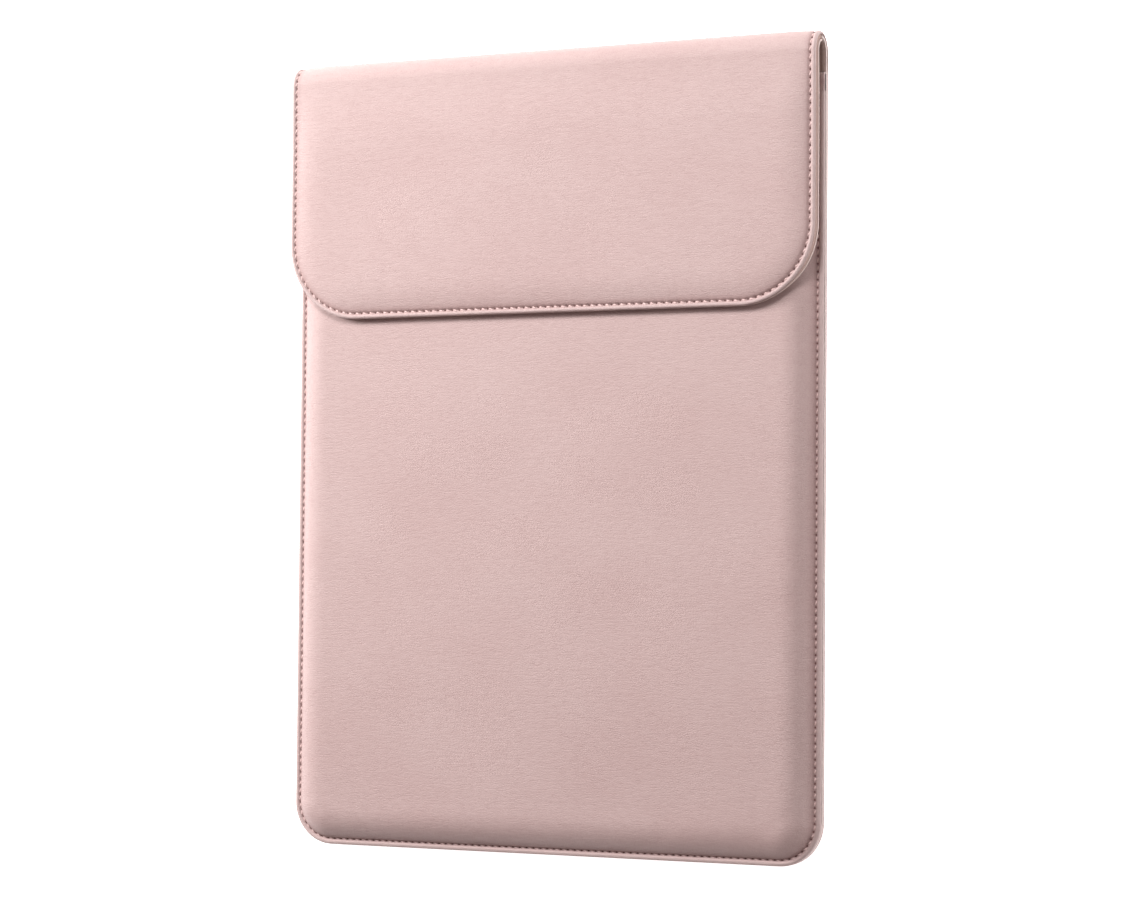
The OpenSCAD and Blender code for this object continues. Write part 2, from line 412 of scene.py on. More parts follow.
def rim_highlight_field(panel):
    """Where the leather gets a painted highlight: 1 on the rounded edge and the bead, 0 from the seam
    inwards.
    """
    def values(x, q, d, s, surface):
        return np.where(surface == 0, 1 - smooth((d - panel.seam * 0.45) / (panel.seam * 0.5)),
                        1 - smooth((d - 0.6) / 0.8))
    return values


# painted shade: darker in the valley just inside the row of stitches
def seam_shade_field(panel):
    def values(x, q, d, s, surface):
        return np.where(surface == 0, bell(d - panel.seam - 0.5, 1.6), 0.0)
    return values


# ---------------------------------------------------------------- materials
def new_material(name):
    m = bpy.data.materials.new(name)
    m.use_nodes = True
    m.node_tree.nodes.clear()
    return m, Nodes(m.node_tree)


class Nodes:
    """Short calls for building a node tree."""

    def __init__(self, tree):
        self.tree = tree

    def add(self, kind, inputs=None, **settings):
        n = self.tree.nodes.new(kind)
        for k, v in settings.items():
            setattr(n, k, v)
        for k, v in (inputs or {}).items():
            if isinstance(v, bpy.types.NodeSocket):
                self.tree.links.new(v, n.inputs[k])
            else:
                n.inputs[k].default_value = v
        return n

    def math(self, op, a, b=0.0):
        return self.add("ShaderNodeMath", {0: a, 1: b}, operation=op).outputs[0]

    def mix(self, factor, a, b):
        n = self.add("ShaderNodeMix", data_type="RGBA")
        for key, v in ((0, factor), (6, a), (7, b)):
            if isinstance(v, bpy.types.NodeSocket):
                self.tree.links.new(v, n.inputs[key])
            else:
                n.inputs[key].default_value = v
        return n.outputs[2]

    def ramp(self, value, low, high, to_low=0.0, to_high=1.0):
        return self.add("ShaderNodeMapRange", {"Value": value, "From Min": low, "From Max": high,
                        "To Min": to_low, "To Max": to_high}).outputs[0]

    def attribute(self, name, output="Fac"):
        return self.add("ShaderNodeAttribute", attribute_name=name).outputs[output]

    def scaled(self, vector, by):
        return self.add("ShaderNodeMapping", {"Vector": vector, "Scale": by}).outputs[0]

    def noise(self, at, by, detail, roughness=0.5, output="Fac"):
        """Noise over a place in mm; by is how many features a mm holds along each axis."""
        return self.add("ShaderNodeTexNoise", {"Vector": self.scaled(at, by), "Scale": 1.0,
                        "Detail": detail, "Roughness": roughness}).outputs[output]

    def vector(self, op, a, b):
        return self.add("ShaderNodeVectorMath", {0: a, 1: b}, operation=op).outputs[0]

    def surface(self, settings):
        """Ends the material with a principled shader."""
        shader = self.add("ShaderNodeBsdfPrincipled", settings)
        out = self.add("ShaderNodeOutputMaterial")
        self.tree.links.new(shader.outputs[0], out.inputs[0])


def rgb(r, g, b):
    """sRGB bytes to a linear colour."""
    def lin(c):
        c /= 255
        return c / 12.92 if c <= 0.04045 else ((c + 0.055) / 1.055) ** 2.4
    return (lin(r), lin(g), lin(b), 1.0)


def leather(name, base, light, dark, hole):
    m, n = new_material(name)
    at = n.attribute("cloth", "Vector")
    # pebble cells wider than high, with fine creases between groups of them
    bent = n.noise(at, (0.5, 0.5, 0.5), 2.0, output="Color")
    where = n.vector("ADD", at, n.vector("MULTIPLY", bent, (0.9, 0.9, 0.9)))
    pebble = n.add("ShaderNodeTexVoronoi", {"Vector": n.scaled(where, (0.85, 1.5, 1.0)), "Scale": 1.0,
                   "Randomness": 1.0}, feature="DISTANCE_TO_EDGE").outputs["Distance"]
    pebble = n.ramp(pebble, 0.0, 0.22)
    crease = n.noise(where, (0.11, 0.8, 0.3), 3.0, 0.6)
    crease = n.ramp(n.math("ABSOLUTE", n.math("SUBTRACT", crease, 0.5)), 0.0, 0.06)
    grain = n.noise(at, (3.0, 3.6, 3.0), 3.0, 0.65)
    patch = n.noise(at, (0.014, 0.02, 0.02), 2.5, 0.55)
    fleck = n.noise(at, (0.25, 0.5, 0.3), 4.0, 0.7)
    # colour: slow drift, a little mottling, dark grain valleys, painted shade along the seam valley, a
    # painted highlight on the rounded edges and beads, painted shade in the needle holes
    colour = n.mix(n.ramp(patch, 0.32, 0.68, 0.0, 0.3), base, light)
    colour = n.mix(n.ramp(fleck, 0.35, 0.75, 0.0, 0.16), colour, dark)
    valley = n.math("MULTIPLY", n.ramp(pebble, 0.0, 0.6, 0.30, 0.0), n.ramp(crease, 0.0, 1.0, 1.0, 0.45))
    colour = n.mix(valley, colour, dark)
    # painted shade along the seam valley
    colour = n.mix(n.math("MULTIPLY", n.attribute("seam"), 0.42), colour, dark)
    # painted highlight on the rounded edge and the bead
    colour = n.mix(n.math("MULTIPLY", n.attribute("rim"), 0.55), colour, light)
    # painted shade in the needle holes
    colour = n.mix(n.ramp(n.attribute("prick_shade"), 0.3, 0.95), colour, hole)
    rough = n.ramp(n.math("ADD", n.math("MULTIPLY", fleck, 0.6), n.math("MULTIPLY", pebble, 0.4)),
                   0.2, 0.9, 0.58, 0.5)
    height = n.math("ADD", n.math("MULTIPLY", pebble, 0.6), n.math("MULTIPLY", grain, 0.30))
    height = n.math("ADD", height, n.math("MULTIPLY", crease, 0.7))
    bump = n.add("ShaderNodeBump", {"Height": height, "Strength": 0.45, "Distance": 0.13 * MM})
    n.surface({"Base Color": colour, "Roughness": rough, "Normal": bump.outputs["Normal"],
               "Specular IOR Level": 0.6})
    return m


def fabric(name, base, light, dark, pale):
    """Short-nap microfibre: fine diagonal nap lines, mottling and a pale turned edge."""
    m, n = new_material(name)
    at = n.attribute("cloth", "Vector")
    lines = n.add("ShaderNodeTexWave", {"Vector": at, "Scale": 1.3, "Distortion": 3.0, "Detail": 2.0,
                  "Detail Scale": 2.0}, bands_direction="DIAGONAL").outputs["Fac"]
    nap = n.noise(at, (2.2, 2.6, 2.2), 4.0, 0.7)
    cloud = n.noise(at, (0.05, 0.07, 0.06), 3.0)
    colour = n.mix(n.ramp(cloud, 0.15, 0.85), base, light)
    colour = n.mix(n.ramp(nap, 0.35, 0.7, 0.0, 0.55), colour, dark)
    colour = n.mix(n.math("MULTIPLY", n.attribute("rim"), 0.95), colour, pale)
    height = n.math("ADD", n.math("MULTIPLY", lines, 0.35), nap)
    bump = n.add("ShaderNodeBump", {"Height": height, "Strength": 0.5, "Distance": 0.12 * MM})
    n.surface({"Base Color": colour, "Roughness": 0.92, "Normal": bump.outputs["Normal"],
               "Sheen Weight": 0.35, "Sheen Roughness": 0.45, "Specular IOR Level": 0.25})
    return m


def simple(name, base, second, scale, rough, bump_mm, metallic=0.0, stretch=(1, 1, 1)):
    """A small mottled material in object coordinates, for threads, foam, board and discs."""
    m, n = new_material(name)
    at = n.add("ShaderNodeTexCoord").outputs["Object"]
    at = n.scaled(at, [k / MM for k in stretch])
    noise = n.add("ShaderNodeTexNoise", {"Vector": at, "Scale": scale, "Detail": 3.0,
                  "Roughness": 0.65}).outputs["Fac"]
    colour = n.mix(n.ramp(noise, 0.35, 0.65), base, second)
    bump = n.add("ShaderNodeBump", {"Height": noise, "Strength": 0.5, "Distance": bump_mm * MM})
    n.surface({"Base Color": colour, "Roughness": rough, "Metallic": metallic,
               "Normal": bump.outputs["Normal"]})
    return m


# base, light (also the painted highlight on edges), dark (also the painted shade along seams) and the
# painted shade in the needle holes
TONES = (rgb(188, 162, 159), rgb(201, 180, 177), rgb(150, 114, 111), rgb(98, 65, 62))
PINK = leather("pink_leather", *TONES)
PINK_HEM = leather("pink_leather_hem", *TONES)
LINING = fabric("lining_microfibre", rgb(160, 136, 128), rgb(174, 150, 141), rgb(124, 101, 94),
                rgb(240, 220, 213))
CORE = simple("foam_core", rgb(184, 158, 150), rgb(160, 134, 126), 2.2, 0.95, 0.15)
THREAD = simple("thread", rgb(230, 203, 199), rgb(210, 180, 176), 6.0, 0.6, 0.04)
# dark capsules sunk at the needle holes: painted shade
HOLE_SHADE = simple("needle_hole_shade", rgb(112, 78, 74), rgb(88, 60, 57), 4.0, 0.8, 0.02)
BOARD = simple("board_fibre", rgb(70, 70, 74), rgb(52, 52, 56), 1.2, 0.7, 0.08, stretch=(1, 4, 1))
MAGNET = simple("magnet_nickel", rgb(196, 198, 204), rgb(176, 178, 184), 0.8, 0.28, 0.02, metallic=1.0)

# ---------------------------------------------------------------- the sheet: back, fold, flap
side_top = np.linspace(Y_FOLD, Q_APEX, 17)[::-1]


def side_rows(q_low, r, top, cell=CELL):
    n = int(round((top - q_low - r) / cell))
    return np.linspace(top, q_low + r, n + 1)


def sheet_rows(q_low, r, cell=CELL):
    return np.concatenate([[Q_APEX + OVERLAP], side_top, side_rows(q_low, r, Y_FOLD, cell)[1:]])


back = Panel(Y_LOW, sheet_rows(Y_LOW, BODY_R), BODY_R, SEAM_BODY, PITCH_BODY)
flap = Panel(Y_FLAP, sheet_rows(Y_FLAP, FLAP_R), FLAP_R, SEAM_FLAP, PITCH_FLAP)
front = Panel(Y_LOW, side_rows(Y_LOW, BODY_R, Y_MOUTH - 0.6), BODY_R, SEAM_BODY, PITCH_BODY)

front_sim = simulated_crown("sim_front", WIDTH, Y_MOUTH - Y_LOW, 11)
back_sim = simulated_crown("sim_back", WIDTH, Y_FOLD - Y_LOW, 12)
flap_sim = simulated_crown("sim_flap", WIDTH, Q_APEX - Y_FLAP, 13)


def tuck(q):
    """Past the top of the fold, a sheet's last row dips under its neighbour."""
    return 0.05 * np.clip((q - Q_APEX) / OVERLAP, 0, 1)


def away_from_seam(d):
    """0 beside the seam to 1 in the middle, where the leather's slow waves are full."""
    return smooth((d - 6) / 15)


def back_face(x, q, d, s):
    body = np.where(q > Y_FOLD, 1.0, 0.7 + 0.3 * back_sim(x, q - Y_LOW))
    t = RIM_DROP * (1 - crown(d, SEAM_BODY, PAD_BACK) * body)
    return t + seam_relief(d, s, SEAM_BODY, back.pitch) + tuck(q)


def flap_face(x, q, d, s):
    along = smooth((Y_FOLD + 2 - q) / 30)
    body = 1 - 0.12 * along * (1 - flap_sim(x, q - Y_FLAP))
    high = crown(d, SEAM_FLAP, PAD_DEEP, STEEP) * body
    t = RIM_DROP * (1 - high) - FLAP_RISE * along * high + 0.35 * along * (1 - high)
    t = t + 0.10 * along * waves(x, q, 21, 55.0) * away_from_seam(d)
    return t + seam_relief(d, s, SEAM_FLAP, flap.pitch) + tuck(q)


FRONT_DROP = FRONT_TOP - SHEET - LINING_T - SKIN


def front_crown(d):
    return crown(d, SEAM_BODY, PAD_DEEP, STEEP)


def front_face(x, q, d, s):
    body = 1 - 0.06 * (1 - front_sim(x, q - Y_LOW))
    t = FRONT_DROP * (1 - front_crown(d) * body)
    t = t + 0.12 * (waves(x, q, 31, 70.0) + 1) * away_from_seam(d)
    return t + seam_relief(d, s, SEAM_BODY, front.pitch)


def plain_rim(d):
    """1 along the rim to 0 in the middle, for the faces that nobody sees from outside."""
    return 1 - np.clip((d - RIM_IN) / (RIM_OUT - RIM_IN), 0, 1)


def pocket_face(d, depth=0.0):
    """The front lining, dished by the pocket's room; depth is how far in from its face."""
    return FRONT_TOP - SHEET - depth - POCKET * (1 - plain_rim(d))


OUTER_FINE = [1.05, 1.4, 1.75, 2.1, 2.4, 2.7, 3.0, 3.35, 3.75, 4.2, 4.8, 5.5, 6.3, 7.2]
BODY_COARSE = [8.4, 9.7, 11.1, 12.6, 14.2, 15.8, 17.2]
FLAP_COARSE = BODY_COARSE + [19.0, 21.0, 23.0, 25.0, 27.0, 29.0, 31.0, 32.6]
UNDER_FINE = [6.6, 3.6, 1.4]
skin_body = rounded_rows(0.7, 0.35, OUTER_FINE, BODY_COARSE, UNDER_FINE, [17, 12, 8.4])
skin_flap = rounded_rows(0.68, 0.4, OUTER_FINE, FLAP_COARSE, UNDER_FINE,
                         [32, 27, 22, 17, 12, 8.4])


def leather_fields(panel):
    return [("rim", rim_highlight_field(panel)), ("seam", seam_shade_field(panel)), ("prick_shade", hole_shade_field(panel))]


def turned_edge(d, extra):
    """How much deeper the leather reaches where it is turned round a body edge."""
    return extra * (1 - smooth((d - 1.0) / 0.8))


def back_under(x, q, d, s):
    shut = smooth((Y_MOUTH + 4 - q) / 8)
    return SKIN + RIM_DROP * plain_rim(d) + turned_edge(d, 1.15) * shut


def flap_under(x, q, d, s):
    return SKIN + 0.15 + RIM_DROP * plain_rim(d)


def front_under(x, q, d, s):
    return SKIN + FRONT_DROP * plain_rim(d) + turned_edge(d, 1.1)


back_leather = back.build(
    "back_leather", skin_body, [back_face, back_under], place_back, cloth_back,
    [PINK], leather_fields(back), flip=True)
flap_leather = flap.build(
    "flap_leather", skin_flap, [flap_face, flap_under], place_flap, cloth_flap,
    [PINK], leather_fields(flap))
front_leather = front.build(
    "front_leather", skin_body, [front_face, front_under], place_front, cloth_front,
    [PINK], leather_fields(front))

# linings and foam cores, from the same outlines at a coarser step
LINE_FINE = [1.2, 1.9, 2.6, 3.3, 4.2, 5.5]
LINE_COARSE = [7.5, 10, 13, 16.5]


def lining_rows(r):
    extra = [r * 0.62, r * 0.8, r * 0.93] if r > 20 else []
    return rounded_rows(0.4, 0.25, LINE_FINE, LINE_COARSE + extra, [3.0, 1.2],
                        extra[::-1] + [16, 10])


def shifted(rows, by):
    """The same rows with those near the edge moved in, for a layer that stops short of it."""
    return [(d + by * (1 - smooth((d - 1) / 6)), k, e, f) for d, k, e, f in rows]


back_in = Panel(Y_LOW, sheet_rows(Y_LOW, BODY_R, 3.0), BODY_R, SEAM_BODY, PITCH_BODY, 3.0, 2)
flap_in = Panel(Y_FLAP, sheet_rows(Y_FLAP, FLAP_R, 1.65), FLAP_R, SEAM_FLAP, PITCH_FLAP, 1.65, 2)
front_in = Panel(Y_LOW, side_rows(Y_LOW, BODY_R, Y_MOUTH - 1.2, 3.0), BODY_R, SEAM_BODY,
                 PITCH_BODY, 3.0, 2)
LINING_AT = SHEET - 0.9     # depth at which the lining ends and the foam core begins


def line_relief(d, s, panel):
    hole = bell(from_hole(s, panel.pitch), 0.6)
    return (0.16 + 0.12 * hole) * bell(d - panel.seam, 0.8) * (d < 15)


def lining_waves(x, q, d, seed):
    return 0.05 * waves(x, q, seed, 40.0) * smooth((d - 5) / 10)


def back_lining_face(x, q, d, s):
    hidden = q < Y_MOUTH
    relief = np.where(hidden, 0.0, line_relief(d, s, back_in))
    return SHEET - relief + lining_waves(x, q, d, 41) - tuck(q)


def flap_droop(x, q, d):
    """How much thicker the flap is along its rim than in its middle, as far as the
    crowned front panel under it leaves room."""
    side = HALF_W - np.abs(x)
    room = TOP - 0.45 - (FRONT_TOP - FRONT_DROP * (1 - front_crown(side))) - SHEET
    room = np.where(q > Y_MOUTH + 2, 6.0, room)
    along = smooth((Q_APEX - 2 - q) / 40)
    want = (1.3 + 1.0 * along) * (1 - smooth((d - 2.4) / 6.5))
    return want * room / np.sqrt(want * want + room * room + 1e-9)


def flap_lining_face(x, q, d, s):
    return (SHEET + flap_droop(x, q, d) - line_relief(d, s, flap_in)
            + lining_waves(x, q, d, 42) - tuck(q))


def lining_rim(x, q, d, s, surface):
    return 1 - smooth((d - 0.7) / 0.9)


def turned_over(rows):
    """The same rows for a layer that is seen from its other side."""
    return [(d, k, -e, f) for d, k, e, f in rows]


LINING_FIELDS = [("rim", lining_rim)]
back_lining = back_in.build(
    "back_lining_cloth", lining_rows(BODY_R),
    [back_lining_face, lambda x, q, d, s: LINING_AT + 0 * x], place_back, cloth_back,
    [LINING], LINING_FIELDS)
flap_lining = flap_in.build(
    "flap_lining_cloth", turned_over(lining_rows(FLAP_R)),
    [flap_lining_face, lambda x, q, d, s: LINING_AT + flap_droop(x, q, d)],
    place_flap, cloth_flap, [LINING], LINING_FIELDS, flip=True)
front_lining_rows = rounded_rows(0.3, 0.2, LINE_FINE, LINE_COARSE, [3.0, 1.2], [16, 10])
front_lining = front_in.build(
    "front_lining_cloth", shifted(turned_over(front_lining_rows), 1.6),
    [lambda x, q, d, s: pocket_face(d), lambda x, q, d, s: pocket_face(d, LINING_T)],
    place_front, cloth_front, [LINING], LINING_FIELDS, flip=True)


def core_rows(r, inset):
    extra = [r * 0.62, r * 0.85] if r > 20 else []
    steps = [inset + 0.15, inset + 0.8, 4.5, 7.0, 8.5, 12, 16.5] + extra
    outer = [(d, 0, 0.0, False) for d in steps]
    under = [(d, 1, 0.0, False) for d in steps[::-1]]
    wall = [(inset, 1, -0.2, False), (inset - 0.06, 1, -0.5, False), (inset, 0, 0.3, False)]
    return under + wall + outer


def core_in(limit):
    def surface(x, q, d, s):
        board = smooth((d - 7.0) / 1.0) * smooth((limit - q) / 2)
        return LINING_AT - 0.5 * board
    return surface


def core_out(x, q, d, s):
    return SKIN + 0.05 + RIM_DROP * plain_rim(d)


back_core = back_in.build("back_foam_core", core_rows(BODY_R, 1.9),
                          [core_out, core_in(Y_MOUTH - 6)], place_back, cloth_back, [CORE],
                          flip=True)
flap_core = flap_in.build("flap_foam_core", core_rows(FLAP_R, 0.45),
                          [lambda x, q, d, s: core_out(x, q, d, s) + 0.12,
                           lambda x, q, d, s: core_in(Y_FOLD - 10)(x, q, d, s)
                           + flap_droop(x, q, d)], place_flap, cloth_flap, [CORE])


# ---------------------------------------------------------------- hem over the mouth
def build_hem():
    """A strip folded over the front panel's top edge and stitched through."""
    n = 3 * int(round(WIDTH / CELL))
    x = np.linspace(-HALF_W, HALF_W, n + 1)
    d = np.minimum(x + HALF_W, HALF_W - x)
    pitch = WIDTH / round(WIDTH / PITCH_BODY)
    seam_q = Y_HEM + (Y_MOUTH - Y_HEM) / 2
    rise = 0.35
    rows = []
    q_out = np.concatenate([[Y_HEM - 0.02, Y_HEM + 0.08, Y_HEM + 0.35, Y_HEM + 0.9],
                            np.linspace(Y_HEM + 1.4, Y_MOUTH - 2.2, 14)])
    lift_out = [0.0, 0.25, 0.33, rise] + [rise] * 14

    def outer(q):
        qq = np.full_like(x, min(q, Y_MOUTH - 1))
        return front_face(x, qq, d, np.full_like(x, PITCH_BODY / 2))

    for q, up in zip(q_out, lift_out):
        hole = bell(from_hole(x, pitch), 0.42)
        valley = bell(q - seam_q, 0.6) * (0.22 + 0.25 * hole) * smooth((d - 5) / 3)
        rows.append((np.full_like(x, q), outer(q) - up + valley))
    t_out, t_in = outer(Y_MOUTH - 2) - rise, pocket_face(d) + 0.12
    mid, half = (t_out + t_in) / 2, (t_in - t_out) / 2
    reach = np.minimum(half, 1.9)
    for a in np.linspace(0, math.pi, 13):
        rows.append((Y_MOUTH - reach + reach * math.sin(a), mid - half * math.cos(a)))
    for q in np.linspace(Y_MOUTH - 2.6, Y_HEM + 0.6, 6):
        rows.append((np.full_like(x, q), t_in))
    rows.append((np.full_like(x, Y_HEM + 0.3), pocket_face(d)))
    points, flat = [], []
    for q, t in rows:
        points.append(place_front(x, q, t))
        flat.append(cloth_front(x, q - t, t))
    verts, cloth = np.concatenate(points), np.concatenate(flat)
    m = len(x)
    faces = [(r * m + k, r * m + k + 1, (r + 1) * m + k + 1, (r + 1) * m + k)
             for r in range(len(rows) - 1) for k in range(m - 1)]
    ends = [[r * m for r in range(len(rows))], [r * m + m - 1 for r in range(len(rows))]]
    faces += [tuple(ends[0]), tuple(ends[1][::-1])]
    # painted shade in the needle holes of the hem's seam
    prick_shade = np.concatenate([
        bell(from_hole(x, pitch), 0.5) * bell(np.asarray(q) - seam_q, 0.5)
        * smooth((d - 5) / 3) * (i < len(q_out)) for i, (q, _) in enumerate(rows)])
    # painted shade along the hem's stitch valley
    seam = np.concatenate([bell(np.asarray(q) + 0 * x - seam_q, 1.1) * 0.7 * (i < len(q_out))
                           for i, (q, _) in enumerate(rows)])
    # painted highlight: full on the turned-over edge and its inside, faint on the outer face
    rim = np.concatenate([np.full(m, 1.0 if i >= len(q_out) else 0.15) for i in range(len(rows))])
    obj = mesh_object("mouth_hem_leather", verts, faces, [PINK_HEM], None,
                      {"cloth": cloth, "prick_shade": prick_shade, "seam": seam, "rim": rim})
    return obj, seam_q, pitch, outer, rise


hem, hem_seam_q, hem_pitch, hem_outer, hem_rise = build_hem()


# ---------------------------------------------------------------- stitches
def capsule_rows():
    rows = []
    for u in (-1.0, -0.86, -0.5, 0.0, 0.5, 0.86, 1.0):
        rows.append((u, math.sqrt(max(0.0, 1 - abs(u) ** 3.2))))
    return rows


CAPSULE = capsule_rows()
SIDES = 8
THREAD_R = 0.34
STITCH_SHARE = 0.72     # length of a stitch over the pitch
HOLE_LONG = 1.0
# the second slot holds the painted shade of the needle holes
STITCH, HOLE_SHADE_SLOT = 0, 1      # material slots


def add_stitch(verts, faces, slots, centre, along, side, up, length, radius, sag, slot):
    """A thread lying along a seam, whose two ends dive into their needle holes."""
    start = len(verts)
    for u, w in CAPSULE:
        c = centre + along * (u * length / 2) - up * (sag * abs(u) ** 2.5)
        for k in range(SIDES):
            a = 2 * math.pi * k / SIDES
            verts.append(c + (side * math.cos(a) + up * (0.8 * math.sin(a))) * (radius * max(w, 0.12)))
    for i in range(len(CAPSULE) - 1):
        for k in range(SIDES):
            b, t = start + i * SIDES, start + (i + 1) * SIDES
            faces.append((b + k, b + (k + 1) % SIDES, t + (k + 1) % SIDES, t + k))
            slots.append(slot)
    faces.append(tuple(start + k for k in reversed(range(SIDES))))
    faces.append(tuple(start + (len(CAPSULE) - 1) * SIDES + k for k in range(SIDES)))
    slots.extend([slot, slot])


def stitch_row(name, panel, surface, place, s_values, sign, seed, lift=0.12, slant=0.42):
    """Stitches centred at the given seam lengths, and a dark capsule halfway to the next as painted
    shade in its needle hole.
    sign is +1 where depth runs down from the face that is seen, -1 where it runs up to it."""
    rng = np.random.default_rng(seed)
    verts, faces, slots = [], [], []
    pitch = panel.pitch

    def at(s, d):
        x, q, _, _ = panel.seam_point(s, d)
        t = float(surface(np.array([x]), np.array([q]), np.array([d]), np.array([pitch / 2]))[0])
        return np.asarray(place(np.array([x]), np.array([q]), np.array([t]))[0])

    def frame_at(s, d):
        p = at(s, d)
        along = at(s + 0.4, d) - at(s - 0.4, d)
        along /= np.linalg.norm(along)
        x, q, _, _ = panel.seam_point(s, d)
        up = (place(np.array([x]), np.array([q]), np.array([0.0]))
              - place(np.array([x]), np.array([q]), np.array([1.0])))[0] * sign
        up /= np.linalg.norm(up)
        side = np.cross(up, along)
        return p, along, side / np.linalg.norm(side), up

    for s in s_values:
        p, along, side, up = frame_at(s, panel.seam)
        turn = slant + rng.uniform(-0.06, 0.06)
        tilted = along * math.cos(turn) - side * math.sin(turn)
        across = np.cross(up, tilted)
        add_stitch(verts, faces, slots, p + up * (lift + rng.uniform(-0.02, 0.02)) - side * 0.12,
                   tilted, across, up, pitch * STITCH_SHARE * rng.uniform(0.94, 1.05),
                   THREAD_R * rng.uniform(0.95, 1.05), 0.28, STITCH)
        # painted shade: a dark capsule sunk in the needle hole
        q, along, side, up = frame_at(s + pitch / 2, panel.seam)
        tilted = along * math.cos(turn) - side * math.sin(turn)
        add_stitch(verts, faces, slots, q - up * 0.16 + side * 0.1, tilted, np.cross(up, tilted), up,
                   HOLE_LONG, 0.30, 0.0, HOLE_SHADE_SLOT)
    return mesh_object(name, verts, faces, [THREAD, HOLE_SHADE], slots)


def centres(panel, low=0.0, high=None):
    n = int(round(panel.length / panel.pitch))
    return [panel.pitch * (k + 0.5) for k in range(n)
            if low <= panel.pitch * (k + 0.5) <= (panel.length if high is None else high)]


front_stitches = stitch_row("seam_stitches", front, front_face, place_front,
                            centres(front, 1.0, front.length - 3.0), 1, seed=51)
back_stitches = stitch_row("seam_back_stitches", back, back_face, place_back, centres(back), 1,
                           seed=52)
flap_stitches = stitch_row("flap_stitches", flap, flap_face, place_flap, centres(flap), 1,
                           slant=0.5, lift=0.13, seed=53)
inner_panel_stitches = stitch_row("flap_inner_stitches", flap_in, flap_lining_face, place_flap,
                                  centres(flap_in), -1, seed=54)


def hem_stitches():
    rng = np.random.default_rng(55)
    verts, faces, slots = [], [], []
    along, up = np.array([1.0, 0, 0]), np.array([0, 0, 1.0])
    side = np.cross(up, along)
    run = HALF_W - 9        # the row stops short of the side seams
    x_all = np.linspace(-HALF_W, HALF_W, 3 * int(round(WIDTH / CELL)) + 1)
    height = hem_outer(hem_seam_q) - hem_rise
    count = int(run / hem_pitch)
    for k in range(-count, count):
        x = (k + 0.5) * hem_pitch
        p = np.array([x, hem_seam_q, FRONT_TOP - np.interp(x, x_all, height) - 0.12])
        turn = 0.14 + rng.uniform(-0.04, 0.04)
        tilted = along * math.cos(turn) + side * math.sin(turn)
        add_stitch(verts, faces, slots, p, tilted, np.cross(up, tilted), up, hem_pitch * 0.62,
                   THREAD_R, 0.3, STITCH)
        # painted shade: a dark capsule sunk in the needle hole
        p = np.array([x + hem_pitch / 2, hem_seam_q,
                      FRONT_TOP - np.interp(x + hem_pitch / 2, x_all, height) - 0.38])
        add_stitch(verts, faces, slots, p, along, side, up, HOLE_LONG, 0.4, 0.0, HOLE_SHADE_SLOT)
    return mesh_object("mouth_stitches", verts, faces, [THREAD, HOLE_SHADE], slots)


mouth_stitches = hem_stitches()

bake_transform(back_leather)
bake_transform(back_stitches)
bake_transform(back_core)
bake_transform(back_lining)
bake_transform(flap_leather)
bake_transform(flap_stitches)
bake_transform(flap_core)
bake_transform(flap_lining)
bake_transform(inner_panel_stitches)
for piece in (front_leather, front_lining, front_stitches, hem, mouth_stitches):
    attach(piece, "sleeve")

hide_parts("back_shell", "fold_shell")
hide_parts("back_foam", "fold_foam")
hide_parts("back_lining", "fold_lining")
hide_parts("seam_back_stitching", "fold_stitching")
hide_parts("flap_shell")
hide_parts("flap_foam")
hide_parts("flap_lining")
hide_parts("flap_stitching")
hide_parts("flap_inner_stitching", "fold_inner_stitching")
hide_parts("front_shell")
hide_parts("front_lining")
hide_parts("seam_stitching")
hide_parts("mouth_hem")
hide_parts("mouth_stitching")

for node, material in (("front_foam", CORE), ("back_board", BOARD), ("flap_board", BOARD),
                       ("front_magnets", MAGNET), ("flap_magnets", MAGNET)):
    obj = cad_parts[node]
    for slot in obj.material_slots:
        slot.material = material

# ---------------------------------------------------------------- floor, light and camera


def standing(x, y, z):
    """A point or direction of the standing sleeve, front towards -Y, laid on its back."""
    return Vector((x, z, -y))


def build_floor(half, z):
    m, n = new_material("floor_pale")
    grain = n.add("ShaderNodeTexNoise", {"Scale": 3.0, "Detail": 2.0}).outputs["Fac"]
    pale = n.mix(grain, (0.90, 0.90, 0.90, 1), (0.92, 0.92, 0.92, 1))
    n.surface({"Base Color": pale, "Roughness": 0.9, "Emission Color": (1, 1, 1, 1),
               "Emission Strength": 0.9})
    corners = [(-half, -half, z), (half, -half, z), (half, half, z), (-half, half, z)]
    return mesh_object("floor", corners, [(0, 1, 2, 3)], [m])


FLOOR_HALF = 3000.0
# below the part, since the fold reaches 4.7 mm under Z = 0 when the flap lies open
FLOOR_Z = -5.0
floor = build_floor(FLOOR_HALF, FLOOR_Z)

middle = Vector((0, 0, FOLD_R * MM))


def area_light(name, where, side, power, in_reflections=True):
    light = bpy.data.lights.new(name, "AREA")
    light.shape, light.size, light.size_y = "RECTANGLE", side, side
    light.energy = power
    obj = bpy.data.objects.new(name, light)
    obj.location = where
    obj.rotation_euler = (middle - where).to_track_quat("-Z", "Y").to_euler()
    obj.visible_glossy = in_reflections
    bpy.context.scene.collection.objects.link(obj)


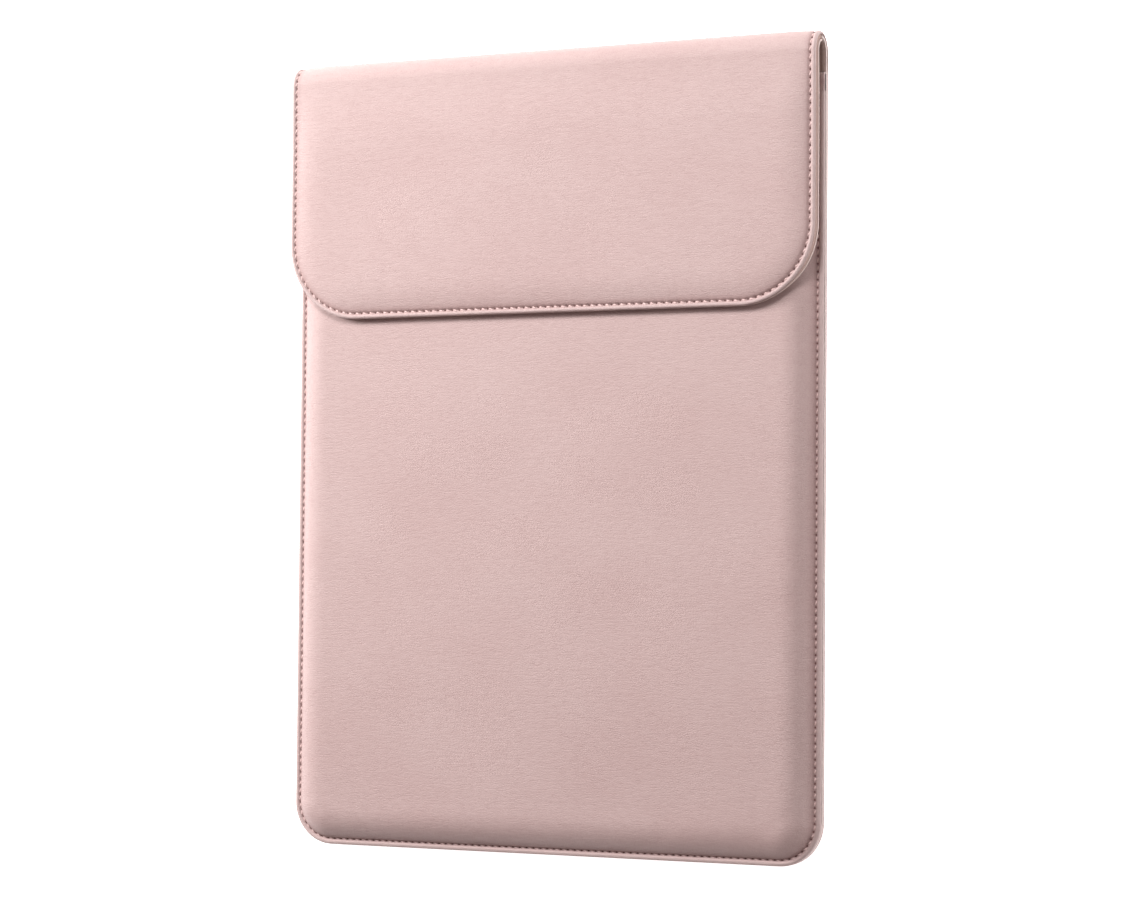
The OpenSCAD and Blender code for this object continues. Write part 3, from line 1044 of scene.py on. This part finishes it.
# half of the key light stays out of reflections, so that the leather doesn't burn out in
# a view that faces the lamp's mirror image
KEY_AT, KEY_SIDE, KEY_POWER = standing(-1.0, -0.52, 0.42), 0.35, 10.3
area_light("key_left", KEY_AT, KEY_SIDE, KEY_POWER)
area_light("key_left_soft", KEY_AT, KEY_SIDE, KEY_POWER, in_reflections=False)
area_light("key_high", standing(0.0, -0.95, 0.8), KEY_SIDE, 10.2)
area_light("fill_right", standing(0.9, -0.8, 0.3), 0.6, 2.6)

world = bpy.data.worlds.new("studio")
bpy.context.scene.world = world
world.use_nodes = True
ambient = world.node_tree.nodes["Background"]
ambient.inputs["Color"].default_value = (1, 0.82, 0.80, 1)
ambient.inputs["Strength"].default_value = 0.2
# the camera sees a pale backdrop, while the part is lit by the dimmer ambient light
wn = Nodes(world.node_tree)
backdrop = wn.add("ShaderNodeBackground", {"Color": (1, 1, 1, 1)})
seen = wn.add("ShaderNodeLightPath")
either = wn.add("ShaderNodeMixShader", {0: seen.outputs["Is Camera Ray"], 1: ambient.outputs[0],
                2: backdrop.outputs[0]})
world.node_tree.links.new(either.outputs[0], world.node_tree.nodes["World Output"].inputs[0])

# the photo's camera round the standing sleeve: angles, then distance and slides in mm
AZ, EL, ROLL = math.radians(26.8), math.radians(-2.345), math.radians(0.503)
DISTANCE, SLIDE_RIGHT, SLIDE_UP = 1389.8, 6.47, -1.3
LENS, SENSOR = 103.5648, 36.0
forward = -Vector((math.sin(AZ) * math.cos(EL), -math.cos(AZ) * math.cos(EL), math.sin(EL)))
right = Vector((math.cos(AZ), math.sin(AZ), 0))
up = right.cross(forward)
right, up = (right * math.cos(ROLL) + up * math.sin(ROLL),
             up * math.cos(ROLL) - right * math.sin(ROLL))
half_length = (Y_APEX - Y_LOW) / 2
eye = Vector((0, 0, half_length)) - forward * DISTANCE + right * SLIDE_RIGHT + up * SLIDE_UP
eye = Vector((eye.x, eye.z - half_length, FOLD_R - eye.y)) * MM
axes = [standing(*v) for v in (right, up, -forward)]
camera_data = bpy.data.cameras.new("camera")
camera_data.sensor_width = SENSOR
camera_data.lens = LENS
camera = bpy.data.objects.new("camera", camera_data)
turn = Matrix([[axes[c][r] for c in range(3)] for r in range(3)]).to_4x4()
camera.matrix_world = Matrix.Translation(eye) @ turn
bpy.context.scene.collection.objects.link(camera)
bpy.context.scene.camera = camera
bpy.context.scene.view_settings.view_transform = "Standard"
